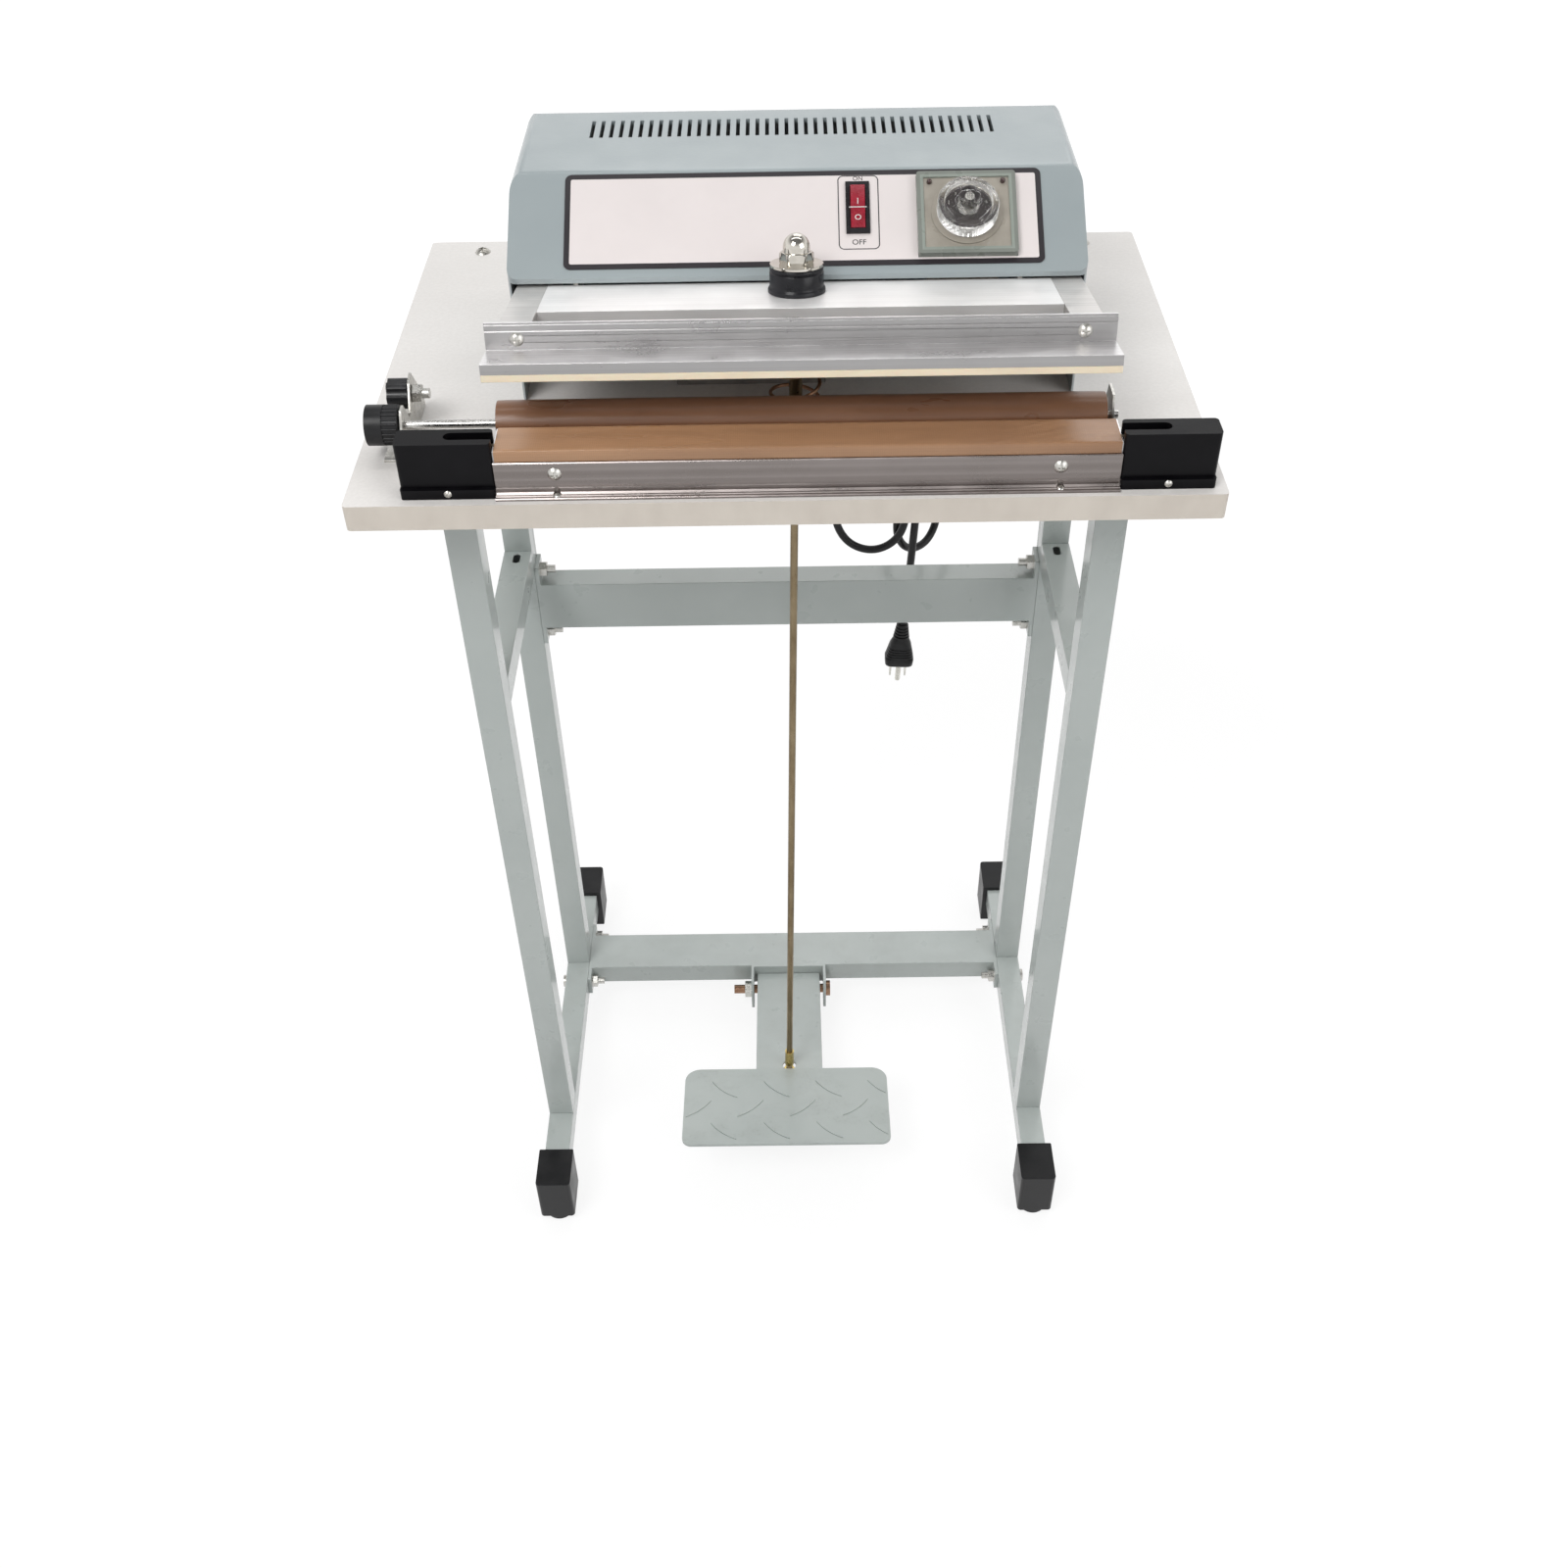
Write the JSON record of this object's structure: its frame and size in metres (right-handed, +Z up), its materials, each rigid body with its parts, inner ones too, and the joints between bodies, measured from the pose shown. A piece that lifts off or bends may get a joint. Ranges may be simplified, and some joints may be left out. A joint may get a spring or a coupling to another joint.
{
  "type": "foot-pedal impulse heat sealer",
  "caption": "Foot-pedal impulse heat sealer: jaws, release-cloth roll and sloping control housing on a laminate table with a tubular stand.",
  "frame": {"origin": "on the floor under the middle of the table and feet", "axes": "+X to the operator's right, +Y from the operator to the back, +Z up"},
  "size_m": [0.5, 0.4121, 0.8082],
  "materials": {
    "table_top": "melamine laminate on board, cream edge",
    "stand_paint": "pale grey-green enamel on steel tube",
    "cap_plastic": "moulded black",
    "zinc": "zinc plated",
    "pedal_pivot_bolt": "yellow-passivated",
    "control_housing": "grey-blue textured enamel",
    "label_plate": "off-white film with a dark border",
    "switch_bezel": "black",
    "switch_rocker": "red",
    "timer_frame": "dark grey",
    "timer_dial": "printed ring of numbers",
    "timer_knob": "clear moulding",
    "indicator_lamps": "red lens",
    "transformer": "varnished laminations",
    "limit_switch": "black",
    "steel": "ground bright",
    "aluminium": "satin anodised",
    "heater_strip": "nickel-chrome strip",
    "release_cloth": "brown coated glass cloth",
    "block_plastic": "moulded black",
    "knob_plastic": "moulded black",
    "press_spring": "copper-coloured spring wire",
    "cord_rubber": "black flexible",
    "silicone_strip": "cream silicone",
    "rubber_bush": "black",
    "acorn_nut": "polished",
    "pull_rod": "yellow-passivated, bright at the top",
    "rod_fittings": "turned"
  },
  "bodies": {
    "stand": {"table_top": "table_top", "left_front_leg": "stand_paint", "right_front_leg": "stand_paint", "left_rear_leg": "stand_paint", "right_rear_leg": "stand_paint", "left_foot_rail": "stand_paint", "right_foot_rail": "stand_paint", "side_rails": "stand_paint", "top_bars": "stand_paint", "upper_beam": "stand_paint", "lower_beam": "stand_paint", "front_left_cap": "cap_plastic", "front_right_cap": "cap_plastic", "rear_left_cap": "cap_plastic", "rear_right_cap": "cap_plastic", "frame_fasteners": "zinc", "pedal_bracket": "stand_paint", "pedal_pivot_bolt": "pedal_pivot_bolt", "control_housing": "control_housing", "label_plate": "label_plate", "switch_bezel": "switch_bezel", "timer_frame": "timer_frame", "timer_dial": "timer_dial", "indicator_lamps": "indicator_lamps", "transformer": "transformer", "limit_switch": "limit_switch", "hinge_brackets": "zinc", "hinge_shaft": "steel", "lower_bar": "aluminium", "front_strip": "aluminium", "heater_strip": "heater_strip", "release_cloth": "release_cloth", "left_end_block": "block_plastic", "right_end_block": "block_plastic", "strip_screws": "zinc", "left_roll_bracket": "zinc", "right_roll_bracket": "zinc", "press_spring": "press_spring", "strain_relief": "cord_rubber", "power_cord": "cord_rubber", "power_plug": "cord_rubber"},
    "press_frame": {"left_arm": "aluminium", "right_arm": "aluminium", "press_channel": "aluminium", "upper_jaw": "aluminium", "silicone_strip": "silicone_strip", "jaw_screws": "zinc", "rubber_bush": "rubber_bush", "acorn_nut": "acorn_nut"},
    "pull_rod": {"pull_rod": "pull_rod", "rod_fittings": "rod_fittings"},
    "pedal": {"pedal_arm": "stand_paint", "pedal_plate": "stand_paint"},
    "cloth_roll": {"roll_spindle": "steel", "roll_knob": "knob_plastic", "cloth_roll": "release_cloth"},
    "clamp_screw": {"clamp_knob": "knob_plastic"},
    "timer_knob": {"timer_knob": "timer_knob"},
    "switch_rocker": {"switch_rocker": "switch_rocker"}
  },
  "joints": [
    {"name": "press_hinge", "type": "hinge", "parent": "stand", "child": "press_frame", "pos_m": [0, 0.067, 0.731], "axis": [1, 0, 0], "range_deg": [0, 10.7], "stiffness_Nm_per_rad": 22, "springref_deg": -14.32, "deforming": ["press_spring"]},
    {"name": "rod_pivot", "type": "hinge", "parent": "press_frame", "child": "pull_rod", "pos_m": [0.0085, -0.06409, 0.77511], "axis": [1, 0, 0], "range_deg": [-10.5, 0.1]},
    {"name": "pedal_hinge", "type": "hinge", "parent": "stand", "child": "pedal", "pos_m": [-0.004, 0.042, 0.029], "axis": [1, 0, 0], "range_deg": [-0.1, 13.4]},
    {"name": "roll_spin", "type": "hinge", "parent": "stand", "child": "cloth_roll", "pos_m": [0, -0.105, 0.7055], "axis": [1, 0, 0], "continuous": true},
    {"name": "clamp_turn", "type": "hinge", "parent": "stand", "child": "clamp_screw", "pos_m": [-0.221, -0.074, 0.7085], "axis": [1, 0, 0], "continuous": true},
    {"name": "timer_turn", "type": "hinge", "parent": "stand", "child": "timer_knob", "pos_m": [0.1085, -0.01878, 0.79044], "axis": [0, -0.5476, 0.8368], "range_deg": [0, 270]},
    {"name": "rocker_tilt", "type": "hinge", "parent": "stand", "child": "switch_rocker", "pos_m": [0.045, -0.01047, 0.78871], "axis": [1, 0, 0], "range_deg": [-10, 0]}
  ],
  "couplings": [
    {"joint": "rod_pivot", "follows": "press_hinge", "ratio": -0.9747},
    {"joint": "pedal_hinge", "follows": "press_hinge", "ratio": 1.2464}
  ]
}
